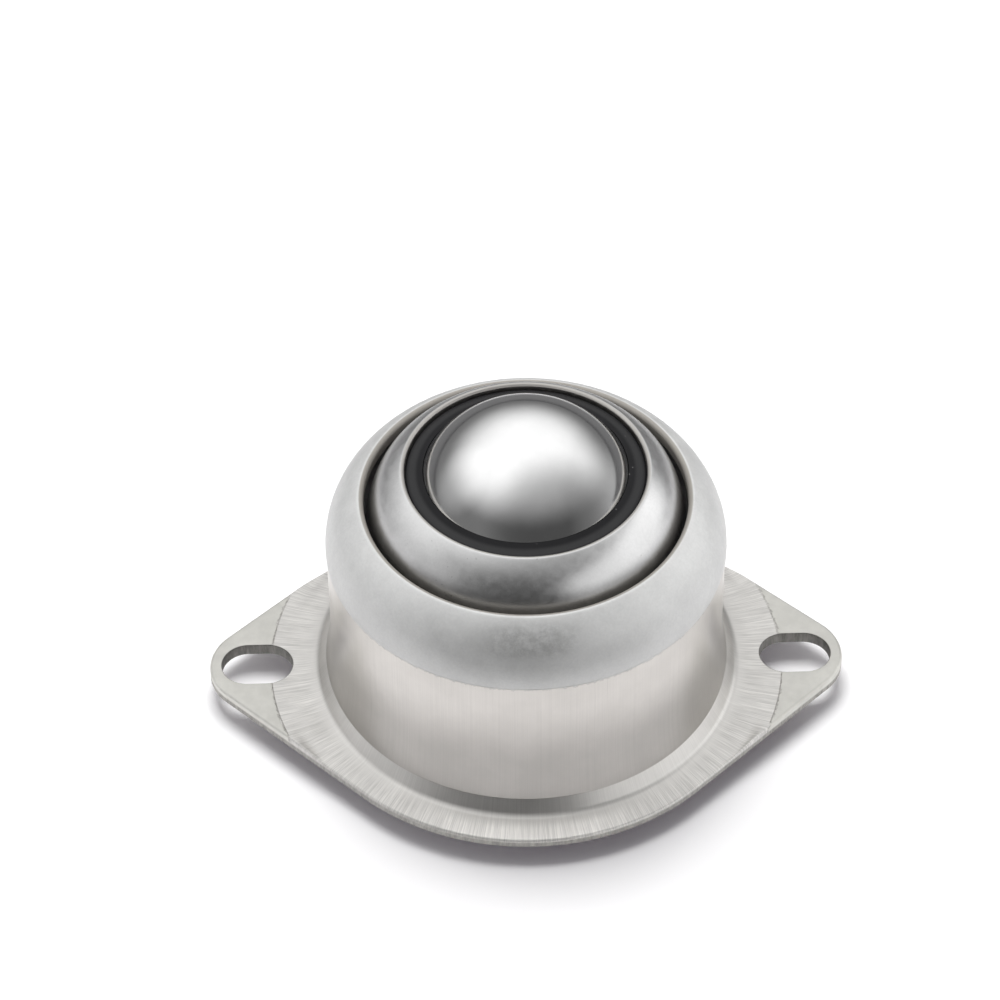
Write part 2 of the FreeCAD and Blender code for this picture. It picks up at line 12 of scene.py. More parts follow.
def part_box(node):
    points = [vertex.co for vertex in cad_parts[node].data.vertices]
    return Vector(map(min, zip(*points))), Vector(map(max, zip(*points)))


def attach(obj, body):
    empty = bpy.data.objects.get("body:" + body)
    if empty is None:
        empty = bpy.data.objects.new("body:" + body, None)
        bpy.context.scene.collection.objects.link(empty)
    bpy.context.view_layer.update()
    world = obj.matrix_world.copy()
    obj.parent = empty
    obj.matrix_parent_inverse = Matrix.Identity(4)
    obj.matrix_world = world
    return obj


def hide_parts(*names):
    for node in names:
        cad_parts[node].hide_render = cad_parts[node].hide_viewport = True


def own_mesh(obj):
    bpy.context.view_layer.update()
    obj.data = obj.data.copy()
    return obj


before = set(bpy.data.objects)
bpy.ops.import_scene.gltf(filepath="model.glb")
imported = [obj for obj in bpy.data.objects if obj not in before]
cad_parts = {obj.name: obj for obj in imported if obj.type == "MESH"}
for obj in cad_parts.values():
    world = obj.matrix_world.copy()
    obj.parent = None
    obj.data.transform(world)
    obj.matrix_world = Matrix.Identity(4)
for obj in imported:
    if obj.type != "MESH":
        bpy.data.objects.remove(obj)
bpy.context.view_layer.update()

bl_info = {
    "name": "Ball Transfer Unit",
    "version": (1, 0, 0),
    "blender": (4, 5, 0),
    "location": "View3D > Sidebar > Ball Unit",
    "description": "Builds the looks of a spring-loaded ball transfer unit and its studio stage",
    "category": "Object",
}

MM = 0.001
BALL_LOW, BALL_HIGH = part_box("load_ball")
BALL_RADIUS = (BALL_HIGH.z - BALL_LOW.z) / 2
BALL_CENTRE = (BALL_HIGH.z + BALL_LOW.z) / 2
BED_NODES = sorted(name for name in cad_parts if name.startswith("support_ball"))
# The profiles are turned round a path of this radius, and a point on the axis lies that far inside it
PATH_RADIUS = 0.02
# Corners nearer to each other than this are one, in a finished mesh and between loops of points
WELD = 2e-6
LOOP_WELD = 1e-9
# A face outside a ring of facets has its middle past this share of the ring's radius
PAST_RING = 0.9999
# Degrees between two faces from which their edge is sharp
SHARP_TURNED, SHARP_SHEET, SHARP_COIL = 38, 17, 60
# Degrees round a rolled edge, and parts of the sink's width, at which the flat faces get a loop of points
ROLL_ANGLES = range(15, 91, 15)
SINK_PARTS = 6
# Sockets for colours of a mix node, and a radius that keeps the axis out of a division
MIX_COLOURS = slice(6, 8)
MIX_RESULT = 2
AXIS_GUARD = 1e-5


def length(name, description, millimetres):
    """Length property, stored in metres."""
    return FloatProperty(name=name, description=description, default=millimetres * MM, min=0, unit="LENGTH",
                         precision=5)


def angle(name, description, degrees):
    """Angle property."""
    return FloatProperty(name=name, description=description, default=math.radians(degrees), subtype="ANGLE")


def colour(name, description, *rgb):
    """Colour property of three linear channels."""
    return FloatVectorProperty(name=name, description=description, default=rgb, size=3, min=0, max=1,
                               subtype="COLOR")


class BallUnitSizes(bpy.types.PropertyGroup):
    """Sizes of the visible pieces: those of the construction model, and slight forms of the sheet."""

    sheet: length("Housing Sheet", "Sheet of the housing", 1.5)
    coin_depth: length("Ring Depth", "Depth of the coined ring", 0.08)
    coin_bevel: length("Ring Bevel", "Sloping outer edge of the ring", 0.15)
    coin_radius: length("Ring Radius", "Outer edge of the coined ring", 29.1827)
    front_radius: length("Front Radius", "Flange on its short side", 26.7327)
    tip_x: length("Tip Centre", "Tip's centre from the axis", 29.9827)
    tip_radius: length("Tip Radius", "Radius of the flange's tips", 6.1)
    slot_x: length("Slot Centre", "Slot's centre from the axis", 30.6827)
    slot_width: length("Slot Width", "Width of a fixing slot", 5.9)
    slot_length: length("Slot Length", "Fixing slot, end to end", 8.1)
    edge_radius: length("Edge Radius", "Rolled upper edge of the flange", 0.4)
    slot_edge_radius: length("Slot Edge Radius", "Rolled upper edge of a slot", 0.15)
    bend_height: length("Bend Height", "Top of the inner bend", 4.02)
    flare_slope: angle("Flare Slope", "Flare below its crease with the neck", 57)
    flare_width: length("Flare Width", "Steep part of the flare", 0.8)
    neck_lean: angle("Neck Lean", "Lean of the neck's foot outwards at the crease", 11)
    lean_height: length("Lean Height", "Height over which the neck leans", 7)
    flare_radius: length("Flare Radius", "Bend from the flare to the ring", 1.2)
    ring_slope: angle("Ring Slope", "Ring at its inner edge", 13)
    ring_radius: length("Ring Bend", "Slow bend from that slope to level", 8.5)
    droop: length("Edge Droop", "Sink of the flange's short edges left by blanking", 0.55)
    droop_width: length("Droop Width", "Width of that sink", 3)
    droop_land: length("Droop Land", "Level strip inside the ring's edge", 0.6)
    droop_fade: length("Droop Fade", "Way over which the sink comes in", 1.6)
    neck_radius: length("Neck Radius", "Outside of the neck", 22.0827)
    ledge: length("Dome Ledge", "Step from the neck out to the dome", 0.1)
    ledge_z: length("Ledge Height", "Top of that step", 20.5672)
    ledge_rise: length("Ledge Rise", "Rise of that step", 0.2)
    dome_z: length("Dome Height", "Centre of the dome's arc", 20.8672)
    dome_arc: length("Dome Arc", "Dome in section, outside", 8.4)
    mouth_radius: length("Mouth Radius", "Dome's punched mouth", 17.793)
    mouth_lip: length("Mouth Lip", "Rolled corner of the mouth", 0.5)
    cap_sheet: length("Cap Sheet", "Sheet of the cap", 1.0)
    cap_radius: length("Cap Radius", "Outside of the cap's wall", 17.493)
    cap_arc: length("Cap Arc", "Cap's crown in section, outside", 9.2)
    cap_bend: length("Cap Bend", "Bend from the wall to the brim", 0.5)
    cap_hole: length("Cap Hole", "Cap's punched hole", 13.2)
    cap_lip: length("Cap Lip", "Rolled corner of that hole", 0.35)
    crown_z: length("Crown Height", "Centre of the crown's arc", 24.399)
    brim_radius: length("Brim Radius", "Outside of the cap's brim", 20.1827)
    brim_z: length("Brim Height", "Upper face of the brim", 23.849)
    brim_corner: length("Brim Corner", "Outer corners of the brim", 0.6)
    rim_z: length("Rim Height", "Cup's rim inside the brim", 22.849)
    rim_in: length("Rim Radius", "Inside of the cap's wall", 16.493)
    fold_in: length("Fold Radius", "Inside of the folded brim", 19.1827)
    hem_upper_z: length("Hem Upper Height", "Upper face of the hem", 21.349)
    hem_z: length("Hem Height", "Lower face of the hem", 20.349)
    hem_radius: length("Hem Radius", "Inside of the hem", 18.5827)
    seal_gap: length("Seal Gap", "From the seal to the load ball", 0.05)
    seal_seat_gap: length("Seal Seat Gap", "From the seal to the cap's crown", 0.02)
    seal_collar: length("Seal Collar", "Radius of the seal's collar", 13.05)
    seal_collar_height: length("Collar Height", "Collar in the cap's hole", 0.2)
    seal_corner: length("Seal Corner", "Outer corner of the collar", 0.12)
    seal_slope: length("Seal Slope", "Rise from the collar to the inner edge", 0.45)
    base_radius: length("Base Radius", "Radius of the base plate", 21.3097)
    base_recess: length("Base Recess", "Base plate above the flange's underside", 0.2)
    base_sheet: length("Base Sheet", "Sheet of the base plate", 1.5)
    base_edge: length("Base Edge", "Bevel of the base plate's lower edge", 0.3)
    spring_wire: length("Spring Wire", "Wire of the spring", 3)
    stroke: length("Stroke", "Travel of the capsule", 4)
    segments: IntProperty(name="Segments", description="Facets round a turned piece", default=288, min=48)


class BallUnitFinishes(bpy.types.PropertyGroup):
    """Colours of the finishes and of the stage."""

    drawn_steel: colour("Drawn Steel", "Plated sheet of the housing", 0.66, 0.655, 0.64)
    cap_steel: colour("Cap Steel", "Satin sheet of the cap", 0.72, 0.72, 0.72)
    polished_ball: colour("Polished Ball", "Load ball", 0.88, 0.88, 0.88)
    bed_ball: colour("Support Balls", "Balls under the load ball", 0.78, 0.78, 0.77)
    hardened_steel: colour("Hardened Steel", "Bearing cup", 0.4, 0.39, 0.38)
    spring_steel: colour("Spring Steel", "Oiled spring wire", 0.3, 0.29, 0.28)
    black_seal: colour("Black Seal", "Moulded seal ring", 0.012, 0.012, 0.013)
    table: colour("Table", "Studio table", 0.95, 0.95, 0.95)


class Graph:
    """Short way to write a node tree: each call but node and feed returns an output."""

    def __init__(self, tree):
        self.tree = tree

    def node(self, kind, *inputs, **settings):
        """Adds a node, sets it up and feeds its inputs in order; None leaves an input alone."""
        node = self.tree.nodes.new(kind)
        for key, setting in settings.items():
            setattr(node, key, setting)
        for socket, source in zip(node.inputs, inputs):
            self.feed(socket, source)
        return node

    def out(self, kind, *inputs, **settings):
        """First output of a node added by the call above."""
        return self.node(kind, *inputs, **settings).outputs[0]

    def named(self, kind, **sources):
        """First output of a new node with its inputs fed by name, an underscore standing for a space."""
        node = self.tree.nodes.new(kind)
        for name, source in sources.items():
            self.feed(node.inputs[name.replace("_", " ")], source)
        return node.outputs[0]

    def feed(self, socket, source):
        """Links an output to a socket, or sets the socket's own value; a colour may leave out its alpha."""
        if isinstance(source, bpy.types.NodeSocket):
            self.tree.links.new(source, socket)
        elif source is not None:
            socket.default_value = (*source, 1) if socket.type == "RGBA" and len(source) == 3 else source

    def math(self, operation, *inputs):
        return self.out("ShaderNodeMath", *inputs, operation=operation)

    def vector_math(self, operation, *inputs, output=0):
        return self.node("ShaderNodeVectorMath", *inputs, operation=operation).outputs[output]

    def total(self, first, *others):
        for other in others:
            first = self.math("ADD", first, other)
        return first

    def product(self, first, *others):
        for other in others:
            first = self.math("MULTIPLY", first, other)
        return first

    def weighted(self, first, *terms):
        """Number plus others, each times its weight."""
        return self.total(first, *(self.product(value, weight) for value, weight in terms))

    def less(self, value, share=1.0):
        """One, less a share of a number."""
        return self.total(1.0, self.product(value, -share))

    def away(self, value, centre):
        """Distance of a number from another."""
        return self.math("ABSOLUTE", self.total(value, -centre))

    def waver(self, value, noise, amount):
        """Number moved up and down by a noise."""
        return self.total(value, self.product(self.total(noise, -0.5), amount))

    def step(self, value, low, high, to_low=0.0, to_high=1.0):
        """Smooth change from one number to another while the value goes from low to high."""
        return self.out("ShaderNodeMapRange", value, low, high, to_low, to_high,
                        interpolation_type="SMOOTHSTEP")

    def beside(self, value, limit, low, high, to_low=0.0, to_high=1.0):
        """Smooth change while the value goes between two distances in millimetres from a limit."""
        return self.step(value, limit + low * MM, limit + high * MM, to_low, to_high)

    def band(self, value, limit, low_end, low_full, high_full, high_end):
        """One between the two full distances in millimetres from a limit, none past the two ends."""
        return self.product(self.beside(value, limit, low_end, low_full),
                            self.beside(value, limit, high_end, high_full))

    def vary(self, noise, low, high):
        """Number between two others that follows the middle range of a noise."""
        return self.step(noise, 0.3, 0.7, low, high)

    def noise(self, vector, scale, detail, roughness):
        return self.named("ShaderNodeTexNoise", Vector=vector, Scale=scale, Detail=detail,
                          Roughness=roughness)

    def stretched(self, vector, stretch, detail, roughness):
        """Noise scaled by its own number along each axis."""
        return self.noise(self.vector_math("MULTIPLY", vector, stretch), 1.0, detail, roughness)

    def combine(self, x, y, z):
        return self.out("ShaderNodeCombineXYZ", x, y, z)

    def grey(self, value):
        return self.combine(value, value, value)

    def mix(self, factor, first, second):
        """Colour between two others."""
        node = self.node("ShaderNodeMix", factor, data_type="RGBA")
        for socket, source in zip(node.inputs[MIX_COLOURS], (first, second)):
            self.feed(socket, source)
        return node.outputs[MIX_RESULT]

    def layers(self, base, *layers):
        """Colour with others laid over it, each by its mask."""
        for mask, layer in layers:
            base = self.mix(mask, base, layer)
        return base

    def shade(self, base, *factors):
        """Colour made darker or lighter by numbers round 1."""
        for factor in factors:
            base = self.vector_math("MULTIPLY", base, self.grey(factor))
        return base


class MaterialGraph(Graph):
    """Material tree with the object's own coordinates, straight and round its axis."""

    def __init__(self, name):
        self.material = bpy.data.materials.new(name)
        self.material.use_nodes = True
        super().__init__(self.material.node_tree)
        self.tree.nodes.clear()
        self.place = self.node("ShaderNodeTexCoord").outputs["Object"]
        self.x, self.y, self.z = self.node("ShaderNodeSeparateXYZ", self.place).outputs
        self.radius = self.math("SQRT", self.weighted(0.0, (self.x, self.x), (self.y, self.y)))
        safe = self.math("MAXIMUM", self.radius, AXIS_GUARD)
        self.round = self.combine(self.math("DIVIDE", self.x, safe), self.math("DIVIDE", self.y, safe), 0.0)

    def spots(self, scale, detail, roughness):
        """Noise of the object's own place."""
        return self.noise(self.place, scale, detail, roughness)

    def lines(self, around, across, along):
        """Fine marks: many round the axis, each long in the direction of along."""
        turned = self.vector_math("MULTIPLY", self.round, (around, around, 0))
        lifted = self.vector_math("ADD", turned, self.combine(0.0, 0.0, self.product(along, across)))
        return self.noise(lifted, 1.0, 3.0, 0.6)

    def finish(self, colour, metallic, roughness, height=None, relief=0.0, **others):
        """Finished material; marks with a height stand out by a relief in millimetres."""
        if height is not None:
            others["Normal"] = self.named("ShaderNodeBump", Strength=1.0, Distance=relief * MM, Height=height)
        shader = self.named("ShaderNodeBsdfPrincipled", Base_Color=colour, Metallic=metallic,
                            Roughness=roughness, **others)
        self.node("ShaderNodeOutputMaterial", shader)
        return self.material


def drawn_steel_material(sizes, base):
    """Housing: grained dome, ironed neck, radial draw marks on the flare and ring, matt tabs."""
    g = MaterialGraph("drawn_steel")
    side_x = g.math("ABSOLUTE", g.x)
    # Zones of the wall
    ragged = g.stretched(g.round, (30, 30, 0), 6, 0.72)
    line = g.waver(g.z, ragged, 1.1 * MM)
    dome = g.beside(line, sizes.ledge_z, -0.3, -0.14)
    # Painted shade: patches of a dark ragged line just under the ledge
    finish_line = g.band(line, sizes.ledge_z, -0.42, -0.3, -0.22, -0.1)
    lip = g.product(g.beside(g.radius, sizes.mouth_radius, 0.6, 0.4), g.beside(g.z, sizes.dome_z, 0, 2))
    # Zones of the flange
    border = g.waver(g.radius, g.spots(900, 4, 0.7), 0.7 * MM)
    inside = g.beside(border, sizes.coin_radius, 0.06, -0.06)
    below = g.beside(g.z, 0, 10, 8)
    low = g.product(g.beside(g.radius, sizes.neck_radius + lean_bend(sizes)[1], -0.02, 0.05), below)
    ring = g.product(g.beside(g.radius, sizes.neck_radius, 2, 3.4), inside, below)
    marked = g.product(low, inside)
    tab = g.less(inside)
    # Painted shade: a dark broken line in the crease at the ring's edge, also sunk in the relief
    crease = g.product(g.band(border, sizes.coin_radius, -0.16, -0.02, 0.02, 0.16),
                       g.step(g.spots(1400, 3, 0.7), 0.42, 0.62))
    # Cut edges: the rim of the flange and the slots
    past_straight = g.total(g.away(side_x, sizes.slot_x), -slot_straight(sizes))
    off = g.vector_math("LENGTH", g.combine(g.math("MAXIMUM", past_straight, 0.0), g.y, 0.0), output=1)
    slot = g.beside(off, sizes.slot_width / 2, 0.08, 0.03)
    edge = g.math("MAXIMUM", g.beside(g.z, 0, 0.85, 0.5), slot)
    # Marks of the tools
    grain = g.spots(3200, 4, 0.7)
    mottle = g.spots(900, 4, 0.65)
    blotch = g.spots(190, 4, 0.6)
    draw_fine = g.lines(260, 260, g.radius)
    draw_wide = g.lines(95, 160, g.radius)
    iron_fine = g.lines(300, 45, g.z)
    iron_cuts = g.step(g.lines(110, 50, g.z), 0.68, 0.78)
    shear = g.stretched(g.place, (2600, 2600, 500), 3, 0.65)
    # Painted shade on the front of the dome: the dark reflection of the camera, broken by a mottle
    front = g.product(g.beside(side_x, 0, 7.5, 2), g.beside(g.y, 0, -12, -17),
                      g.band(g.z, 0, 23.8, 25.4, 26.4, 28.2))
    painted_dome_shade = g.less(g.product(front, g.step(g.spots(900, 5, 0.75), 0.3, 0.66)), 0.34)
    # Painted light: the ring made lighter at its front, where the dome hides the light from behind
    near = g.beside(side_x, 0, 14, 4, -0.02, 0.34)
    # Tone of each zone; painted shade darkens the neck towards its foot
    neck_tone = g.product(g.vary(iron_fine, 0.92, 0.985), g.less(iron_cuts, 0.16),
                          g.beside(g.z, 0, 17, 8, 1.0, 0.7))
    ring_marks = g.product(g.step(draw_fine, 0.25, 0.75, 0.8, 1.14), g.vary(draw_wide, 0.92, 1.06))
    ring_tone = g.weighted(1.0, (g.weighted(0.3, (ring, 0.7)), g.total(ring_marks, -1)))
    dome_tone = g.product(g.vary(mottle, 1.03, 1.1), g.vary(grain, 0.97, 1.03))
    tone = g.layers(g.grey(neck_tone), (dome, g.grey(dome_tone)), (marked, g.grey(ring_tone)),
                    (tab, g.grey(g.vary(mottle, 0.92, 0.98))))
    tint = g.layers((1.0, 0.97, 0.945), (dome, (0.975, 0.985, 1.0)), (low, (0.975, 0.962, 0.95)),
                    (tab, (1.0, 0.995, 0.96)))
    # Colour
    burnished, ledge_shade = (0.38, 0.36, 0.33), (0.3, 0.29, 0.28)
    crease_shade, sheared = (0.24, 0.23, 0.21), (1, 0.98, 0.92)
    surface = g.vector_math("MULTIPLY", g.shade(tuple(base), g.vary(blotch, 0.96, 1.03)),
                            g.vector_math("MULTIPLY", tone, tint))
    surface = g.shade(surface, g.weighted(1.0, (ring, near)), painted_dome_shade)
    cut = g.product(g.vary(shear, 0.3, 0.46), g.less(slot, 0.35))
    surface = g.layers(surface, (lip, burnished),
                       (g.product(finish_line, g.step(ragged, 0.45, 0.6, 0.1, 0.45)), ledge_shade),
                       (g.product(crease, 0.55), crease_shade), (edge, g.shade(sheared, cut)))
    # Gloss
    roughness = g.weighted(0.33, (dome, g.vary(mottle, 0.13, 0.23)), (tab, 0.12), (marked, 0.05),
                           (edge, 0.15), (lip, 0.06))
    metal = g.weighted(1.0, (ring, -0.15), (dome, -0.45))
    # Relief
    height = g.weighted(g.product(dome, g.weighted(mottle, (grain, 0.6))),
                        (g.less(dome), g.product(iron_fine, 0.6)), (ring, g.product(draw_fine, 2.4)),
                        (crease, -3.0), (edge, g.product(shear, 6.0)))
    return g.finish(surface, metal, roughness, height, 0.007)


def cap_steel_material(sizes, base):
    """Cap: satin crown with a burnished lip, a few specks and painted shade low on its wall."""
    g = MaterialGraph("cap_steel")
    lip = g.beside(g.radius, sizes.cap_hole, 0.5, 0.3)
    # Painted shade: the wall darker low down, where it goes into the dome's mouth
    foot = g.beside(g.z, 0, 28, 29.4, 0.72, 1.0)
    blotch = g.spots(260, 4, 0.6)
    mottle = g.spots(1100, 4, 0.65)
    grain = g.spots(3600, 3, 0.6)
    speck = g.product(g.step(g.spots(2600, 2, 0.5), 0.69, 0.74), g.step(blotch, 0.5, 0.62))
    surface = g.shade(tuple(base), g.vary(blotch, 0.965, 1.03), g.vary(mottle, 0.97, 1.02),
                      g.vary(grain, 0.975, 1.02), foot)
    dark, burnished = (0.25, 0.25, 0.25), (0.5, 0.485, 0.46)
    surface = g.layers(surface, (g.product(speck, 0.45), dark), (lip, burnished))
    roughness = g.weighted(g.vary(mottle, 0.29, 0.37), (lip, 0.06))
    height = g.weighted(mottle, (grain, 0.5))
    return g.finish(surface, 1.0, roughness, height, 0.006)


def ball_material(name, base, smoothness):
    """Ground and polished ball with a breath of fine scratches."""
    g = MaterialGraph(name)
    haze = g.spots(180, 5, 0.65)
    scratches = g.stretched(g.place, (9000, 1200, 700), 3, 0.6)
    surface = g.shade(tuple(base), g.vary(haze, 0.95, 1.02))
    roughness = g.total(g.step(haze, 0.35, 0.75, smoothness, smoothness + 0.05),
                        g.step(scratches, 0.6, 0.8, 0.0, 0.03))
    return g.finish(surface, 1.0, roughness)


def plain_steel_material(name, base, rough, marks):
    """Steel of an inner or hidden piece, with blotches and fine marks of its making."""
    g = MaterialGraph(name)
    blotch = g.spots(240, 4, 0.6)
    fine = g.stretched(g.place, marks, 3, 0.6)
    surface = g.shade(tuple(base), g.vary(blotch, 0.88, 1.08), g.vary(fine, 0.95, 1.04))
    roughness = g.vary(blotch, rough - 0.06, rough + 0.08)
    return g.finish(surface, 1.0, roughness, fine, 0.006)


def black_seal_material(base):
    """Moulded seal: matt black with a fine grain, a little dust and a sheen along its crest."""
    g = MaterialGraph("black_seal")
    crest, dust_grey = 12.4 * MM, (0.35, 0.35, 0.34)
    grain = g.spots(5000, 3, 0.6)
    patch = g.spots(420, 4, 0.6)
    dust = g.named("ShaderNodeTexVoronoi", Vector=g.place, Scale=1500)
    speck = g.product(g.step(dust, 0.16, 0.08), g.step(patch, 0.58, 0.66))
    surface = g.shade(tuple(base), g.vary(patch, 0.85, 1.2))
    surface = g.mix(g.product(speck, 0.5), surface, dust_grey)
    sheen = g.beside(g.away(g.radius, crest), 0, 0.15, 0.7, 0.42, 0.12)
    return g.finish(surface, 0.0, g.vary(patch, 0.42, 0.55), grain, 0.004, Specular_IOR_Level=sheen)


def turning_tree():
    """Geometry tree that turns a profile round the axis and gives it its material."""
    tree = bpy.data.node_groups.new("Turned Piece", "GeometryNodeTree")
    for name, kind in (("Profile", "Geometry"), ("Segments", "Int"), ("Path Radius", "Float"),
                       ("Material", "Material")):
        tree.interface.new_socket(name, in_out="INPUT", socket_type="NodeSocket" + kind)
    tree.interface.new_socket("Geometry", in_out="OUTPUT", socket_type="NodeSocketGeometry")
    g = Graph(tree)
    source = g.node("NodeGroupInput").outputs
    path = g.named("GeometryNodeCurvePrimitiveCircle", Resolution=source["Segments"],
                   Radius=source["Path Radius"])
    profile = g.out("GeometryNodeMeshToCurve", source["Profile"])
    skin = g.out("GeometryNodeCurveToMesh", path, profile)
    joined = g.out("GeometryNodeRealizeInstances", skin)
    dressed = g.out("GeometryNodeSetMaterial", joined, None, source["Material"])
    g.node("NodeGroupOutput", dressed)
    return tree


class Section:
    """Profile of a turned piece in the plane of radius and height, in metres."""

    def __init__(self, x, z):
        self.points = [(x, z)]

    def line(self, x, z, pieces=1):
        """Straight way from the last point to another."""
        x0, z0 = self.points[-1]
        for number in range(1, pieces + 1):
            share = number / pieces
            self.points.append((x0 + (x - x0) * share, z0 + (z - z0) * share))
        return self

    def arc(self, centre, to, pieces):
        """Shorter way round a centre from the last point towards another."""
        x0, z0 = self.points[-1]
        reach = math.hypot(x0 - centre[0], z0 - centre[1])
        begin = math.atan2(z0 - centre[1], x0 - centre[0])
        sweep = math.atan2(to[1] - centre[1], to[0] - centre[0]) - begin
        sweep = (sweep + math.pi) % (2 * math.pi) - math.pi
        for number in range(1, pieces + 1):
            angle = begin + sweep * number / pieces
            self.points.append((centre[0] + reach * math.cos(angle), centre[1] + reach * math.sin(angle)))
        return self


def height_on(centre, reach, x):
    """Height of the upper half of a circle at a radius."""
    return centre[1] + math.sqrt(reach ** 2 - (x - centre[0]) ** 2)


def new_object(name, data):
    """Object of a mesh, a lamp or a camera, linked to the scene."""
    item = bpy.data.objects.new(name, data)
    bpy.context.scene.collection.objects.link(item)
    return item


def turned_mesh(name, section, closed, material, segments):
    """Mesh of a profile turned round the axis by the geometry tree."""
    points = section.points
    if closed and math.dist(points[0], points[-1]) < WELD:
        points = points[:-1]
    edges = [(index, index + 1) for index in range(len(points) - 1)]
    if closed:
        edges.append((len(points) - 1, 0))
    profile = bpy.data.meshes.new(name + "_profile")
    profile.from_pydata([(x - PATH_RADIUS, -z, 0) for x, z in points], edges, [])
    holder = new_object(name + "_profile", profile)
    tree = bpy.data.node_groups.get("Turned Piece") or turning_tree()
    modifier = holder.modifiers.new("Turned", "NODES")
    modifier.node_group = tree
    inputs = {item.name: item.identifier for item in tree.interface.items_tree if item.in_out == "INPUT"}
    for key, setting in (("Segments", segments), ("Path Radius", PATH_RADIUS), ("Material", material)):
        modifier[inputs[key]] = setting
    bpy.context.view_layer.update()
    graph = bpy.context.evaluated_depsgraph_get()
    mesh = bpy.data.meshes.new_from_object(holder.evaluated_get(graph))
    holder.modifiers.clear()
    bpy.data.objects.remove(holder)
    bpy.data.meshes.remove(profile)
    return mesh


def clean(mesh, sharp=SHARP_TURNED):
    """Welds the mesh, turns its faces outwards and shades it smooth between sharp edges."""
    shape = bmesh.new()
    shape.from_mesh(mesh)
    bmesh.ops.remove_doubles(shape, verts=shape.verts, dist=WELD)
    bmesh.ops.dissolve_degenerate(shape, edges=shape.edges, dist=WELD / 4)
    bmesh.ops.recalc_face_normals(shape, faces=shape.faces)
    if shape.calc_volume(signed=True) < 0:
        bmesh.ops.reverse_faces(shape, faces=shape.faces)
    shape.to_mesh(mesh)
    shape.free()
    mesh.shade_smooth()
    mesh.set_sharp_from_angle(angle=math.radians(sharp))
    return mesh


def add_piece(name, mesh, body, node):
    """Object of a finished mesh that stands for a node and rides on its body."""
    piece = new_object(name, mesh)
    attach(piece, body)
    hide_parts(node)
    return piece


def outline_distance(sizes, x, y):
    """Distance of a point inside the flange's outline, negative outside it."""
    x, y = abs(x), abs(y)
    front, tip, tip_x = sizes.front_radius, sizes.tip_radius, sizes.tip_x
    lean = (front - tip) / tip_x
    side = math.sqrt(1 - lean * lean)
    along = x * side - y * lean
    if along < 0:
        return front - math.hypot(x, y)
    if along > side * tip_x:
        return tip - math.hypot(x - tip_x, y)
    return front - (y * side + x * lean)


def slot_straight(sizes):
    """Half the length of a slot's straight sides."""
    return (sizes.slot_length - sizes.slot_width) / 2


def slot_distance(sizes, x, y):
    """Distance of a point outside the nearer slot, negative inside it."""
    past_straight = abs(abs(x) - sizes.slot_x) - slot_straight(sizes)
    return math.hypot(max(past_straight, 0), y) - sizes.slot_width / 2


def flange_height(sizes, x, y):
    """Height of the flange's upper face: sheet, coined ring, rolled edges."""
    top = sizes.sheet
    sunk = min(max((sizes.coin_radius - math.hypot(x, y)) / sizes.coin_bevel, 0), 1)
    height = top - sizes.coin_depth * sunk
    for gap, radius in ((outline_distance(sizes, x, y), sizes.edge_radius),
                        (slot_distance(sizes, x, y), sizes.slot_edge_radius)):
        if gap < radius:
            height = min(height, top - radius + math.sqrt(max(radius ** 2 - (radius - max(gap, 0)) ** 2, 0)))
    return height


def lean_bend(sizes):
    """Radius in section of the slow bend at the neck's foot, and how far out it reaches."""
    reach = sizes.lean_height / math.sin(sizes.neck_lean)
    return reach, reach * (1 - math.cos(sizes.neck_lean))


def edge_sink(sizes, x, y):
    """Sink of the sheet's upper face near the short edges of the flange, none at the tabs."""
    share = max(1 - max(outline_distance(sizes, x, y), 0) / sizes.droop_width, 0)
    inwards = sizes.coin_radius - sizes.droop_land - math.hypot(x, y)
    reach = min(max(inwards / sizes.droop_fade, 0), 1)
    return sizes.droop * share * share * reach * reach * (3 - 2 * reach)


def outline_loop(sizes, inset, arc_steps=72, side_steps=24):
    """Points of the flange's outline, moved inwards by a distance."""
    front, tip, tip_x = sizes.front_radius, sizes.tip_radius, sizes.tip_x
    lean = math.acos((front - tip) / tip_x)
    spans = [(tip_x, tip, -lean, lean), (0, front, lean, math.pi - lean),
             (-tip_x, tip, math.pi - lean, math.pi + lean),
             (0, front, math.pi + lean, 2 * math.pi - lean)]
    loop = []
    for index, (x, radius, begin, end) in enumerate(spans):
        reach = radius - inset
        for step in range(arc_steps + 1):
            angle = begin + (end - begin) * step / arc_steps
            loop.append((x + reach * math.cos(angle), reach * math.sin(angle)))
        next_x, next_radius, angle, _ = spans[(index + 1) % len(spans)]
        reach = next_radius - inset
        target = (next_x + reach * math.cos(angle), reach * math.sin(angle))
        last = loop[-1]
        loop += [(last[0] + (target[0] - last[0]) * step / side_steps,
                  last[1] + (target[1] - last[1]) * step / side_steps) for step in range(1, side_steps)]
    return loop


def slot_loop(sizes, side, outset, steps=40):
    """Points of one slot's outline, moved outwards by a distance."""
    reach = sizes.slot_width / 2 + outset
    loop = []
    for end in (1, -1):
        centre = side * sizes.slot_x + end * slot_straight(sizes)
        for step in range(steps + 1):
            angle = math.pi * (step / steps - 0.5) + (0 if end > 0 else math.pi)
            loop.append((centre + reach * math.cos(angle), reach * math.sin(angle)))
    return loop


def circle_loop(radius, segments):
    """Points of a circle round the axis, placed as the turned pieces place theirs."""
    angles = [2 * math.pi * step / segments for step in range(segments)]
    return [(radius * math.cos(angle), radius * math.sin(angle)) for angle in angles]


def flat_faces(loops, inside, height):
    """Triangles between loops of points, kept where inside says so, at heights from a function."""
    points, edges = [], []
    for loop in loops:
        first = len(points)
        points += [Vector(point) for point in loop]
        edges += [(first + step, first + (step + 1) % len(loop)) for step in range(len(loop))]
    flat, _, faces, _, _, _ = delaunay_2d_cdt(points, edges, [], 0, LOOP_WELD)
    kept = []
    for face in faces:
        middle = sum((flat[index] for index in face), Vector((0, 0))) / len(face)
        if inside(middle.x, middle.y):
            kept.append(tuple(face))
    return [(point.x, point.y, height(point.x, point.y)) for point in flat], kept


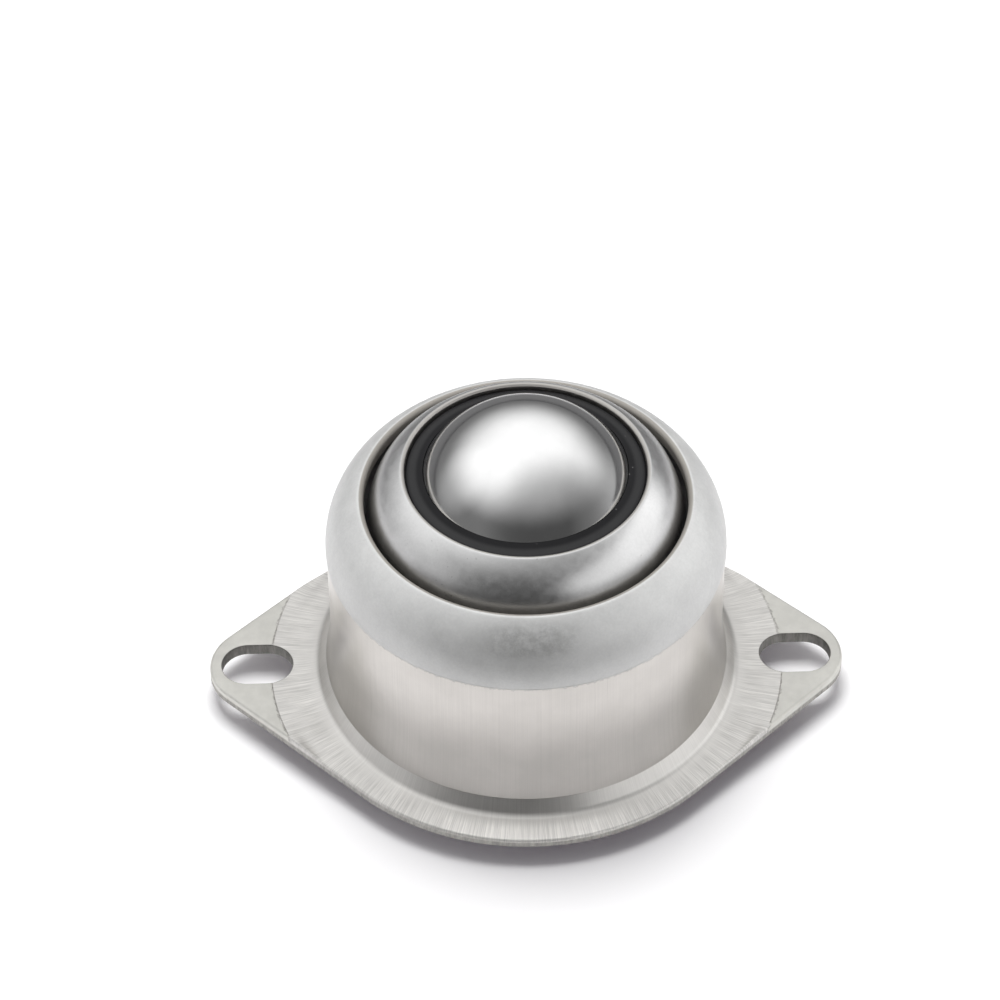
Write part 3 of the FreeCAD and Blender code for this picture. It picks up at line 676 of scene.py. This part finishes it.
def wall_faces(loop, top):
    """Upright band under a loop of points, from a height function down to the underside."""
    count = len(loop)
    points = [(x, y, top(x, y)) for x, y in loop] + [(x, y, 0) for x, y in loop]
    faces = [(step, (step + 1) % count, count + (step + 1) % count, count + step) for step in range(count)]
    return points, faces


def at_slope(centre, radius, slope):
    """Point of a bend with its centre above the sheet, where the sheet has a slope."""
    return centre[0] - radius * math.sin(slope), centre[1] - radius * math.cos(slope)


def housing_mesh(sizes, material):
    """Flange with slots, flare, neck and dome as one closed skin."""
    coin_z = sizes.sheet - sizes.coin_depth
    lean_reach, lean_out = lean_bend(sizes)
    soft, steep = math.sin(sizes.ring_slope), math.sin(sizes.flare_slope)
    level = (sizes.neck_radius + lean_out + sizes.flare_width + sizes.ring_radius * soft
             + sizes.flare_radius * (steep - soft))
    ring = (level, coin_z + sizes.ring_radius)
    ring_start = at_slope(ring, sizes.ring_radius, sizes.ring_slope)
    flare = at_slope(ring_start, -sizes.flare_radius, sizes.ring_slope)
    flare_foot = at_slope(flare, sizes.flare_radius, sizes.flare_slope)
    crease_z = flare_foot[1] + sizes.flare_width * math.tan(sizes.flare_slope)
    lean_z = crease_z + sizes.lean_height
    bore = sizes.neck_radius - sizes.sheet
    under = (bore + sizes.bend_height, sizes.bend_height)
    edge = sizes.neck_radius + sizes.ledge
    dome = (edge - sizes.dome_arc, sizes.dome_z)
    inner = sizes.dome_arc - sizes.sheet
    lip_x = sizes.mouth_radius + sizes.mouth_lip
    lip = (lip_x, height_on(dome, sizes.dome_arc - sizes.mouth_lip, lip_x))

    hat = Section(ring[0], coin_z)
    hat.arc(ring, ring_start, 14).arc(flare, flare_foot, 14)
    hat.line(sizes.neck_radius + lean_out, crease_z, 4)
    hat.arc((sizes.neck_radius + lean_reach, lean_z), (0, lean_z), 14)
    hat.line(sizes.neck_radius, sizes.ledge_z - sizes.ledge_rise, 8)
    hat.line(edge, sizes.ledge_z, 2).line(edge, dome[1])
    hat.arc(dome, lip, 40).arc(lip, (sizes.mouth_radius, lip[1]), 12)
    hat.line(sizes.mouth_radius, height_on(dome, inner, sizes.mouth_radius), 2)
    hat.arc(dome, (edge - sizes.sheet, dome[1]), 20)
    hat.line(edge - sizes.sheet, sizes.ledge_z).line(bore, sizes.ledge_z - sizes.ledge_rise)
    hat.line(bore, sizes.bend_height, 8).arc(under, (under[0], 0), 20)
    skin = turned_mesh("housing", hat, False, material, sizes.segments)

    def height(x, y):
        return flange_height(sizes, x, y)

    def sheet_beyond(radius):
        return lambda x, y: (outline_distance(sizes, x, y) > 0 and slot_distance(sizes, x, y) > 0
                             and math.hypot(x, y) > radius * PAST_RING)

    outline = outline_loop(sizes, 0)
    slots = [slot_loop(sizes, side, 0) for side in (-1, 1)]
    rolls = [outline_loop(sizes, sizes.edge_radius * (1 - math.sin(math.radians(angle))))
             for angle in ROLL_ANGLES]
    slot_rolls = [slot_loop(sizes, side, sizes.slot_edge_radius * (1 - math.cos(math.radians(angle))))
                  for side in (-1, 1) for angle in ROLL_ANGLES]
    rings = [circle_loop(radius, sizes.segments) for radius in
             (ring[0], sizes.coin_radius - sizes.coin_bevel, sizes.coin_radius)]
    sinks = [outline_loop(sizes, sizes.droop_width * part / SINK_PARTS) for part in range(1, SINK_PARTS)]
    upper = flat_faces([outline, *rolls, *sinks, *slots, *slot_rolls, *rings], sheet_beyond(ring[0]), height)
    lower = flat_faces([outline, *slots, circle_loop(under[0], sizes.segments)], sheet_beyond(under[0]),
                       lambda x, y: 0.0)
    walls = [wall_faces(loop, height) for loop in [outline, *slots]]

    shape = bmesh.new()
    shape.from_mesh(skin)
    for points, faces in [upper, lower, *walls]:
        corners = [shape.verts.new(point) for point in points]
        for face in faces:
            shape.faces.new([corners[index] for index in face])
    loose = [corner for corner in shape.verts if not corner.link_faces]
    bmesh.ops.delete(shape, geom=loose, context="VERTS")
    # Only the flange's upper face and edges lie between these heights
    sink_low, sink_high = 0.2 * MM, coin_z + 0.5 * MM
    for corner in shape.verts:
        if sink_low < corner.co.z < sink_high:
            corner.co.z -= edge_sink(sizes, corner.co.x, corner.co.y)
    shape.to_mesh(skin)
    shape.free()
    return clean(skin, SHARP_SHEET)


def cap_mesh(sizes, material):
    """Cap with its rolled hole, crown, wall and hemmed brim."""
    crown = (sizes.cap_radius - sizes.cap_arc, sizes.crown_z)
    inner = sizes.cap_arc - sizes.cap_sheet
    lip_x = sizes.cap_hole + sizes.cap_lip
    lip = (lip_x, height_on(crown, sizes.cap_arc - sizes.cap_lip, lip_x))
    corner = sizes.brim_radius - sizes.brim_corner
    bend = (sizes.cap_radius + sizes.cap_bend, sizes.brim_z + sizes.cap_bend)
    cap = Section(sizes.cap_hole, lip[1])
    cap.line(sizes.cap_hole, height_on(crown, inner, sizes.cap_hole))
    cap.arc(crown, (sizes.rim_in, crown[1]), 24)
    cap.line(sizes.rim_in, sizes.rim_z).line(sizes.fold_in, sizes.rim_z)
    cap.line(sizes.fold_in, sizes.hem_upper_z).line(sizes.hem_radius, sizes.hem_upper_z)
    cap.line(sizes.hem_radius, sizes.hem_z).line(corner, sizes.hem_z)
    low, high = sizes.hem_z + sizes.brim_corner, sizes.brim_z - sizes.brim_corner
    cap.arc((corner, low), (sizes.brim_radius, low), 8).line(sizes.brim_radius, high)
    cap.arc((corner, high), (corner, sizes.brim_z), 8).line(bend[0], sizes.brim_z)
    cap.arc(bend, (sizes.cap_radius, bend[1]), 8).line(sizes.cap_radius, crown[1])
    cap.arc(crown, lip, 48).arc(lip, (sizes.cap_hole, lip[1]), 10)
    return clean(turned_mesh("cap", cap, True, material, sizes.segments))


def seal_mesh(sizes, material):
    """Seal ring between the cap's crown and the load ball."""
    crown = (sizes.cap_radius - sizes.cap_arc, sizes.crown_z)
    shoulder = sizes.cap_arc - sizes.cap_sheet - sizes.seal_seat_gap
    wipe = BALL_RADIUS + sizes.seal_gap
    foot = height_on(crown, shoulder, sizes.seal_collar)
    collar = foot + sizes.seal_collar_height
    top = collar + sizes.seal_slope
    inner = math.sqrt(wipe ** 2 - (top - BALL_CENTRE) ** 2)
    centre = (0, BALL_CENTRE)
    corner = (sizes.seal_collar - sizes.seal_corner, collar - sizes.seal_corner)
    seal = Section(wipe, BALL_CENTRE).arc(centre, (inner, top), 20)
    seal.line(corner[0], collar, 3).arc(corner, (sizes.seal_collar, corner[1]), 6)
    seal.line(sizes.seal_collar, foot)
    seal.arc(crown, (crown[0] + math.sqrt(shoulder ** 2 - (BALL_CENTRE - crown[1]) ** 2), BALL_CENTRE), 20)
    seal.line(wipe, BALL_CENTRE)
    return clean(turned_mesh("seal", seal, True, material, sizes.segments))


def ball_mesh(sizes, material):
    """Load ball."""
    centre = (0, BALL_CENTRE)
    ball = Section(0, BALL_CENTRE - BALL_RADIUS).arc(centre, (BALL_RADIUS, BALL_CENTRE), 64)
    ball.arc(centre, (0, BALL_CENTRE + BALL_RADIUS), 64)
    return clean(turned_mesh("ball", ball, False, material, sizes.segments))


def base_mesh(sizes, material):
    """Base plate with the bevel of its lower edge."""
    low, top = sizes.base_recess, sizes.base_recess + sizes.base_sheet
    plate = Section(0, low).line(sizes.base_radius - sizes.base_edge, low, 8)
    plate.line(sizes.base_radius, low + sizes.base_edge).line(sizes.base_radius, top).line(0, top, 8)
    return clean(turned_mesh("base", plate, False, material, sizes.segments))


def spring_mesh(sizes, material):
    """Welded copy of the construction model's spring."""
    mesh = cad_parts["spring"].data.copy()
    mesh.materials.clear()
    mesh.materials.append(material)
    return clean(mesh, SHARP_COIL)


def dress(nodes, material):
    """Gives carried-over nodes their material."""
    for name in nodes:
        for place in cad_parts[name].material_slots:
            place.material = material


def settings(context):
    """Sizes and finishes set in the panel."""
    return context.scene.ball_unit_sizes, context.scene.ball_unit_finishes


class BALLUNIT_OT_housing(bpy.types.Operator):
    """Build the housing: flange, slots, flare, neck and dome"""

    bl_idname = "ballunit.housing"
    bl_label = "Housing"

    def execute(self, context):
        sizes, finishes = settings(context)
        material = drawn_steel_material(sizes, finishes.drawn_steel)
        add_piece("drawn_housing", housing_mesh(sizes, material), "base", "housing")
        return {"FINISHED"}


class BALLUNIT_OT_base_plate(bpy.types.Operator):
    """Build the base plate that closes the housing from below"""

    bl_idname = "ballunit.base_plate"
    bl_label = "Base Plate"

    def execute(self, context):
        sizes, finishes = settings(context)
        material = plain_steel_material("base_steel", finishes.drawn_steel, 0.45, (2500, 300, 2500))
        add_piece("closing_plate", base_mesh(sizes, material), "base", "base_plate")
        return {"FINISHED"}


class BALLUNIT_OT_cap(bpy.types.Operator):
    """Build the capsule's cap"""

    bl_idname = "ballunit.cap"
    bl_label = "Capsule Cap"

    def execute(self, context):
        sizes, finishes = settings(context)
        material = cap_steel_material(sizes, finishes.cap_steel)
        add_piece("drawn_cap", cap_mesh(sizes, material), "capsule", "capsule_cap")
        return {"FINISHED"}


class BALLUNIT_OT_seal(bpy.types.Operator):
    """Build the moulded seal ring"""

    bl_idname = "ballunit.seal"
    bl_label = "Seal Ring"

    def execute(self, context):
        sizes, finishes = settings(context)
        material = black_seal_material(finishes.black_seal)
        add_piece("moulded_seal", seal_mesh(sizes, material), "capsule", "seal_ring")
        return {"FINISHED"}


class BALLUNIT_OT_load_ball(bpy.types.Operator):
    """Build the polished load ball"""

    bl_idname = "ballunit.load_ball"
    bl_label = "Load Ball"

    def execute(self, context):
        sizes, finishes = settings(context)
        material = ball_material("polished_ball", finishes.polished_ball, 0.1)
        add_piece("polished_load_ball", ball_mesh(sizes, material), "ball", "load_ball")
        return {"FINISHED"}


class BALLUNIT_OT_spring(bpy.types.Operator):
    """Build the spring, on a mesh of its own; the real one shortens as the capsule sinks"""

    bl_idname = "ballunit.spring"
    bl_label = "Spring"

    def execute(self, context):
        sizes, finishes = settings(context)
        material = plain_steel_material("spring_steel", finishes.spring_steel, 0.36, (1500, 1500, 400))
        piece = add_piece("coil_spring", spring_mesh(sizes, material), "base", "spring")
        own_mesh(piece)
        return {"FINISHED"}


class BALLUNIT_OT_inner(bpy.types.Operator):
    """Finish the pieces inside: support balls and cup"""

    bl_idname = "ballunit.inner"
    bl_label = "Inner Pieces"

    def execute(self, context):
        _, finishes = settings(context)
        dress(BED_NODES, ball_material("bed_ball_steel", finishes.bed_ball, 0.14))
        cup_steel = plain_steel_material("hardened_steel", finishes.hardened_steel, 0.4, (900, 900, 4000))
        dress(["bearing_cup"], cup_steel)
        return {"FINISHED"}


def direction(turn, rise):
    """Direction given in degrees round from the back and up."""
    turn, rise = math.radians(turn), math.radians(rise)
    return Vector((math.sin(turn) * math.cos(rise), math.cos(turn) * math.cos(rise), math.sin(rise)))


def studio_world():
    """Studio light from above and both sides, dim in front on the right, and white to the camera."""
    world = bpy.data.worlds.new("studio")
    world.use_nodes = True
    bpy.context.scene.world = world
    world.node_tree.nodes.clear()
    g = Graph(world.node_tree)
    toward = g.vector_math("NORMALIZE", g.node("ShaderNodeTexCoord").outputs["Generated"])
    path = g.node("ShaderNodeLightPath").outputs

    def glow(turn, rise, inner, outer, strength):
        """Round soft light: full within the inner angle from its direction, gone past the outer one."""
        cosine = g.vector_math("DOT_PRODUCT", toward, direction(turn, rise), output=1)
        return g.step(cosine, math.cos(math.radians(outer)), math.cos(math.radians(inner)), 0.0, strength)

    above = glow(turn=7, rise=79, inner=25, outer=79, strength=1.0)
    right = glow(turn=90, rise=0, inner=1, outer=52, strength=0.26)
    left = glow(turn=-80, rise=28, inner=1, outer=34, strength=0.23)
    dark_front = glow(turn=150, rise=21, inner=32, outer=80, strength=0.58)
    base_light, diffuse_loss = 0.18, 0.5
    light = g.product(g.total(base_light, above, right, left), g.less(dark_front),
                      g.less(path["Is Diffuse Ray"], diffuse_loss))
    sky = g.out("ShaderNodeBackground", g.grey(light), 1.0)
    white = g.out("ShaderNodeBackground", (1, 1, 1), 1.0)
    mixed = g.out("ShaderNodeMixShader", path["Is Camera Ray"], sky, white)
    g.node("ShaderNodeOutputWorld", mixed)


def table_material(base):
    """White table with a faint purple lift where it is seen, and a painted pool of light: darker to other
    rays far from the unit.
    """
    g = MaterialGraph("table")
    path = g.node("ShaderNodeLightPath").outputs
    near, far, far_light = 0.05, 0.1, 0.15
    lift_colour, lift = (0.9, 0.76, 1), 0.05
    # Painted pool of light: for all rays but the camera's, the table's colour and lift fall off away from the
    # unit
    painted_light_pool = g.math("MAXIMUM", g.step(g.math("ABSOLUTE", g.y), far, near, far_light, 1.0),
                  path["Is Camera Ray"])
    diffuse = g.out("ShaderNodeBsdfDiffuse", g.shade(tuple(base), painted_light_pool))
    glow = g.out("ShaderNodeEmission", lift_colour, g.product(painted_light_pool, lift))
    seen = g.math("MAXIMUM", path["Is Camera Ray"], path["Is Glossy Ray"])
    both = g.out("ShaderNodeAddShader", diffuse, glow)
    mixed = g.out("ShaderNodeMixShader", seen, diffuse, both)
    g.node("ShaderNodeOutputMaterial", mixed)
    return g.material


def add_camera():
    """Camera at the photograph's place: 45 degrees above the table, with a long lens."""
    azimuth, elevation, roll = -0.986, 44.950, math.radians(-0.550)
    distance, focal, sensor = 0.4438, 3.8783, 36
    # Place of the unit's origin in the picture, as shares of its width from the left and the top
    origin_x, origin_y = 0.52631, 0.66686
    right = direction(90 - azimuth, 0)
    forward = direction(-azimuth, -elevation)
    up = right.cross(forward)
    side = right * math.cos(roll) + up * math.sin(roll)
    top = up * math.cos(roll) - right * math.sin(roll)
    offset_x, offset_y = (origin_x - 0.5) / focal, -(origin_y - 0.5) / focal
    data = bpy.data.cameras.new("camera")
    data.sensor_width, data.lens = sensor, sensor * focal
    data.clip_start, data.clip_end = 0.01, 20
    camera = new_object("camera", data)
    place = -(forward + side * offset_x + top * offset_y) * distance
    turn = Matrix((side, top, -forward)).transposed().to_4x4()
    camera.matrix_world = Matrix.Translation(place) @ turn
    bpy.context.scene.camera = camera


def add_lamp(name, turn, rise, distance, size, radiance, only=()):
    """Soft lamp that looks at the unit from a direction.

    With pieces named, it lights those alone. Otherwise it lights everything, and reflections leave it out.
    """
    data = bpy.data.lights.new(name, "AREA")
    data.shape = "RECTANGLE"
    data.size, data.size_y = size
    data.energy = radiance * math.pi * size[0] * size[1]
    lamp = new_object(name, data)
    place = direction(turn, rise)
    lamp.location = place * distance
    lamp.rotation_euler = place.to_track_quat("Z", "Y").to_euler()
    if only:
        lit = bpy.data.collections.new(name + "_lit")
        for piece in only:
            lit.objects.link(bpy.data.objects[piece])
        lamp.light_linking.receiver_collection = lit
    else:
        lamp.visible_glossy = False


def add_table(base):
    """Table with a low round block that holds the unit off it, which softens its shadow."""
    reach, block, low = 1.6, 0.019, -0.003
    shape = bmesh.new()
    corners = [shape.verts.new((x * reach, y * reach, low)) for x, y in ((-1, -1), (1, -1), (1, 1), (-1, 1))]
    shape.faces.new(corners)
    bmesh.ops.create_cone(shape, cap_ends=True, segments=96, radius1=block, radius2=block, depth=-low,
                          matrix=Matrix.Translation((0, 0, low / 2)))
    mesh = bpy.data.meshes.new("table")
    shape.to_mesh(mesh)
    shape.free()
    mesh.materials.append(table_material(base))
    new_object("table", mesh)


class BALLUNIT_OT_stage(bpy.types.Operator):
    """Set up the table, the lights and the camera"""

    bl_idname = "ballunit.stage"
    bl_label = "Stage"

    def execute(self, context):
        add_table(context.scene.ball_unit_finishes.table)
        studio_world()
        sheet = ("drawn_housing", "drawn_cap")
        card = {"rise": 14, "distance": 0.6, "size": (1.35, 0.5), "only": sheet}
        add_lamp("overhead", turn=-14, rise=77.5, distance=0.7, size=(0.36, 0.36), radiance=10.5)
        add_lamp("right_card", turn=104, radiance=0.95, **card)
        add_lamp("left_card", turn=-80, radiance=0.38, **card)
        add_camera()
        context.scene.view_settings.view_transform = "Standard"
        return {"FINISHED"}


class BALLUNIT_PT_parts(bpy.types.Panel):
    """Builders of the unit's pieces, with their sizes and finishes"""

    bl_idname = "BALLUNIT_PT_parts"
    bl_label = "Ball Transfer Unit"
    bl_space_type = "VIEW_3D"
    bl_region_type = "UI"
    bl_category = "Ball Unit"

    def draw(self, context):
        for operator in OPERATORS:
            self.layout.operator(operator.bl_idname)
        for group in settings(context):
            column = self.layout.column(align=True)
            for key in group.__annotations__:
                column.prop(group, key)


OPERATORS = (BALLUNIT_OT_housing, BALLUNIT_OT_base_plate, BALLUNIT_OT_cap, BALLUNIT_OT_seal,
             BALLUNIT_OT_load_ball, BALLUNIT_OT_spring, BALLUNIT_OT_inner, BALLUNIT_OT_stage)
CLASSES = (BallUnitSizes, BallUnitFinishes, *OPERATORS, BALLUNIT_PT_parts)


def register():
    for item in CLASSES:
        bpy.utils.register_class(item)
    bpy.types.Scene.ball_unit_sizes = PointerProperty(type=BallUnitSizes)
    bpy.types.Scene.ball_unit_finishes = PointerProperty(type=BallUnitFinishes)


def unregister():
    del bpy.types.Scene.ball_unit_sizes
    del bpy.types.Scene.ball_unit_finishes
    for item in reversed(CLASSES):
        bpy.utils.unregister_class(item)


def main():
    """Build every piece and the stage."""
    register()
    bpy.ops.ballunit.housing()
    bpy.ops.ballunit.base_plate()
    bpy.ops.ballunit.cap()
    bpy.ops.ballunit.seal()
    bpy.ops.ballunit.load_ball()
    bpy.ops.ballunit.spring()
    bpy.ops.ballunit.inner()
    bpy.ops.ballunit.stage()


if __name__ == "__main__":
    main()
